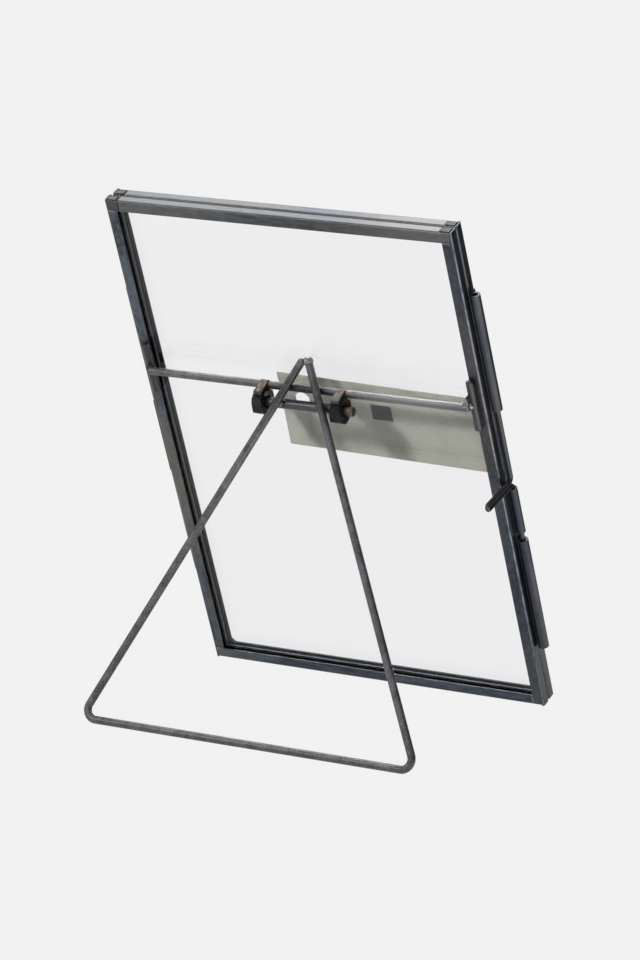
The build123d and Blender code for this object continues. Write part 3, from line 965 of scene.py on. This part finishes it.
class PICTUREFRAME_OT_tag(PieceOperator):
    """Finishes the paper tag and its dark label"""

    bl_idname = "pictureframe.tag"
    bl_label = "Tag"

    def execute(self, context):
        for node, tone, fibre_tone in (
            ("paper_tag", colours().paper, colours().paper_fibre),
            ("tag_sticker", colours().label, colours().label * 0.7),
        ):
            material, tree, shader = new_material(f"{node}_paper")
            place = leaning_place(tree, (0.35, 1.0, 1.0))
            fibres = noise_of(tree, place, 1500.0, detail=5.0, roughness=0.7)
            mottle = noise_of(tree, leaning_place(tree), 90.0, detail=3.0)
            from_fibres = math(tree, "MULTIPLY", ramp(tree, fibres, 0.42, 0.70), 0.5)
            from_mottle = math(tree, "MULTIPLY", ramp(tree, mottle, 0.35, 0.7), 0.35)
            share = math(tree, "ADD", from_fibres, from_mottle, clamp=True)
            finish = blend_colours(tree, share, opaque(tone), opaque(fibre_tone))
            if node == "tag_sticker":
                finish = blend_colours(tree, self.worn_rim(tree, place), finish, opaque(colours().paper))
            tree.links.new(finish, shader.inputs["Base Color"])
            rough = math(tree, "ADD", 0.62, math(tree, "MULTIPLY", fibres, 0.25))
            tree.links.new(rough, shader.inputs["Roughness"])
            shader.inputs["Sheen Weight"].default_value = 0.08
            set_bump(tree, shader, fibres, 0.3, 0.03 * MM)
            give(node, material)
        return {"FINISHED"}

    def worn_rim(self, tree, place):
        """The sticker's edge, scuffed back to pale paper."""
        low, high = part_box("tag_sticker")
        half_width = (high.x - low.x) / 2
        offset = add_node(tree, "ShaderNodeVectorMath", operation="SUBTRACT",
                          values={0: leaning_place(tree), 1: leaning(middle("tag_sticker"))})
        parts = add_node(tree, "ShaderNodeSeparateXYZ", values={0: offset.outputs[0]}).outputs
        from_side = math(tree, "SUBTRACT", half_width, math(tree, "ABSOLUTE", parts[0]))
        from_end = math(tree, "SUBTRACT", STICKER_HALF_HEIGHT, math(tree, "ABSOLUTE", parts[2]))
        inward = math(tree, "MINIMUM", from_side, from_end)
        ragged = math(tree, "MULTIPLY", math(tree, "SUBTRACT", noise_of(tree, place, 800.0), 0.5), 0.9 * MM)
        rim = ramp(tree, math(tree, "ADD", inward, ragged), 0.45 * MM, 0.2 * MM)
        return math(tree, "MULTIPLY", rim, 0.55)


class PICTUREFRAME_OT_stage(PieceOperator):
    """Lays the pale floor, hangs the lights and places the camera"""

    bl_idname = "pictureframe.stage"
    bl_label = "Stage"

    def execute(self, context):
        scene = context.scene
        scene.view_settings.view_transform = "Standard"
        centre = (CAD_LOW + CAD_HIGH) / 2

        build = bmesh.new()
        bmesh.ops.create_grid(build, x_segments=8, y_segments=8, size=8.0)
        mesh = bpy.data.meshes.new("floor")
        build.to_mesh(mesh)
        build.free()
        floor = bpy.data.objects.new("floor", mesh)
        floor.location = (centre.x, centre.y, CAD_LOW.z - 0.05 * MM)
        scene.collection.objects.link(floor)
        mesh.materials.append(self.floor_material())

        self.set_world(scene)
        # The key softbox lights without showing in the steel; the weaker glint just behind it is what shows.
        from_key = (0.481, 0.715, 0.509)
        from_overhead = (0.36, -0.42, 0.82)
        warm = (1.0, 0.985, 0.96)
        cool = (0.98, 0.99, 1.0)
        key = self.add_light("key_softbox", centre, from_key, 1.1, 0.12, 8.5, warm)
        key.visible_glossy = False
        self.add_light("key_glint", centre, from_key, 1.12, 0.14, 1.6, warm)
        self.add_light("overhead_softbox", centre, from_overhead, 1.0, 0.60, 5.6, cool)
        self.place_camera(scene, centre)
        return {"FINISHED"}

    def seen_directly(self, tree):
        """1 for what the camera sees, straight or through a pane, and 0 for light that bounces."""
        path = tree.nodes.new("ShaderNodeLightPath")
        return math(tree, "MAXIMUM", path.outputs["Is Camera Ray"], path.outputs["Is Transmission Ray"])

    def floor_material(self):
        """Even and pale where it is seen; bounced light finds it bright behind and dark in front."""
        material, tree, shader = new_material("pale_floor")
        tree.nodes.remove(shader)
        source = tree.nodes.new("ShaderNodeTexCoord").outputs["Object"]
        place = add_node(tree, "ShaderNodeSeparateXYZ", values={0: source}).outputs
        behind = ramp(tree, place[1], -0.24, -0.04)
        hinge_side = ramp(tree, place[0], 0.02, 0.20)
        clasp_side = ramp(tree, place[0], -0.06, -0.13)
        hinge_glow = math(tree, "MULTIPLY", hinge_side, 0.35)
        clasp_glow = math(tree, "MULTIPLY", clasp_side, 1.2)
        sides = math(tree, "ADD", hinge_glow, clasp_glow)
        bright = math(tree, "MULTIPLY", behind, math(tree, "ADD", 0.72, sides))
        bounced = math(tree, "ADD", 0.05, bright)
        grey = add_node(
            tree, "ShaderNodeCombineColor", values={0: bounced, 1: bounced, 2: bounced}
        ).outputs[0]
        shown = blend_colours(tree, self.seen_directly(tree), grey, opaque(colours().floor))
        glow = add_node(tree, "ShaderNodeEmission", values={"Color": shown, "Strength": 1.0})
        surface = next(node for node in tree.nodes if node.type == "OUTPUT_MATERIAL")
        tree.links.new(glow.outputs[0], surface.inputs["Surface"])
        return material

    def set_world(self, scene):
        """A tent that is bright above and behind, and dark low down in front."""
        world = bpy.data.worlds.new("studio")
        scene.world = world
        world.use_nodes = True
        tree = world.node_tree
        tree.nodes.clear()
        direction = tree.nodes.new("ShaderNodeTexCoord").outputs["Generated"]
        towards = add_node(tree, "ShaderNodeVectorMath", operation="DOT_PRODUCT",
                           values={0: direction, 1: (0.25, 0.50, 0.83)}).outputs["Value"]
        dim, bright = (0.05, 0.051, 0.054), (0.80, 0.82, 0.85)
        tent = blend_colours(tree, ramp(tree, towards, -0.25, 0.85), opaque(dim), opaque(bright))
        shown = blend_colours(tree, self.seen_directly(tree), tent, opaque(colours().floor))
        background = add_node(tree, "ShaderNodeBackground", values={"Color": shown, "Strength": 1.0})
        surface = tree.nodes.new("ShaderNodeOutputWorld")
        tree.links.new(background.outputs[0], surface.inputs["Surface"])

    def add_light(self, name, centre, direction, distance, size, power, tint):
        """A square softbox facing the frame."""
        lamp = bpy.data.lights.new(name, "AREA")
        lamp.size = size
        lamp.energy = power
        lamp.color = tint
        light = bpy.data.objects.new(name, lamp)
        away = Vector(direction).normalized()
        light.location = centre + away * distance
        light.rotation_euler = away.to_track_quat("Z", "Y").to_euler()
        bpy.context.scene.collection.objects.link(light)
        return light

    def place_camera(self, scene, centre):
        """Sets the camera at its turn, rise and distance from its aim."""
        turn, rise = sizes().view_turn, sizes().view_rise
        back = Vector((sin(turn) * cos(rise), -cos(turn) * cos(rise), sin(rise)))
        camera_data = bpy.data.cameras.new("camera")
        camera_data.lens = sizes().lens
        camera_data.sensor_width = 36.0
        camera_data.clip_start = 0.01
        camera = bpy.data.objects.new("camera", camera_data)
        camera.location = centre + Vector(sizes().view_aim) + back * sizes().view_distance
        camera.rotation_euler = (-back).to_track_quat("-Z", "Y").to_euler()
        scene.collection.objects.link(camera)
        scene.camera = camera


class PICTUREFRAME_PT_panel(bpy.types.Panel):
    """Lists the frame's pieces"""

    bl_idname = "PICTUREFRAME_PT_panel"
    bl_label = "Picture Frame"
    bl_space_type = "VIEW_3D"
    bl_region_type = "UI"
    bl_category = "Picture Frame"

    def draw(self, context):
        layout = self.layout
        for operator in OPERATORS:
            layout.operator(operator.bl_idname)
        for group in (context.scene.picture_frame_sizes, context.scene.picture_frame_colours):
            box = layout.box()
            for name in group.bl_rna.properties.keys():
                if name not in {"rna_type", "name"}:
                    box.prop(group, name)


OPERATORS = (
    PICTUREFRAME_OT_stage,
    PICTUREFRAME_OT_sheet,
    PICTUREFRAME_OT_flaps,
    PICTUREFRAME_OT_wires,
    PICTUREFRAME_OT_pivot,
    PICTUREFRAME_OT_welds,
    PICTUREFRAME_OT_panes,
    PICTUREFRAME_OT_tag,
)
CLASSES = (PictureFrameSizes, PictureFrameColours, *OPERATORS, PICTUREFRAME_PT_panel)


def register():
    """Adds the classes and the scene's settings."""
    for item in CLASSES:
        bpy.utils.register_class(item)
    bpy.types.Scene.picture_frame_sizes = PointerProperty(type=PictureFrameSizes)
    bpy.types.Scene.picture_frame_colours = PointerProperty(type=PictureFrameColours)


def unregister():
    """Takes them out again, in reverse order."""
    del bpy.types.Scene.picture_frame_colours
    del bpy.types.Scene.picture_frame_sizes
    for item in reversed(CLASSES):
        bpy.utils.unregister_class(item)


def main():
    """Builds everything once."""
    register()
    bpy.ops.pictureframe.stage()
    bpy.ops.pictureframe.sheet()
    bpy.ops.pictureframe.flaps()
    bpy.ops.pictureframe.wires()
    bpy.ops.pictureframe.pivot()
    bpy.ops.pictureframe.welds()
    bpy.ops.pictureframe.panes()
    bpy.ops.pictureframe.tag()


if __name__ == "__main__":
    main()
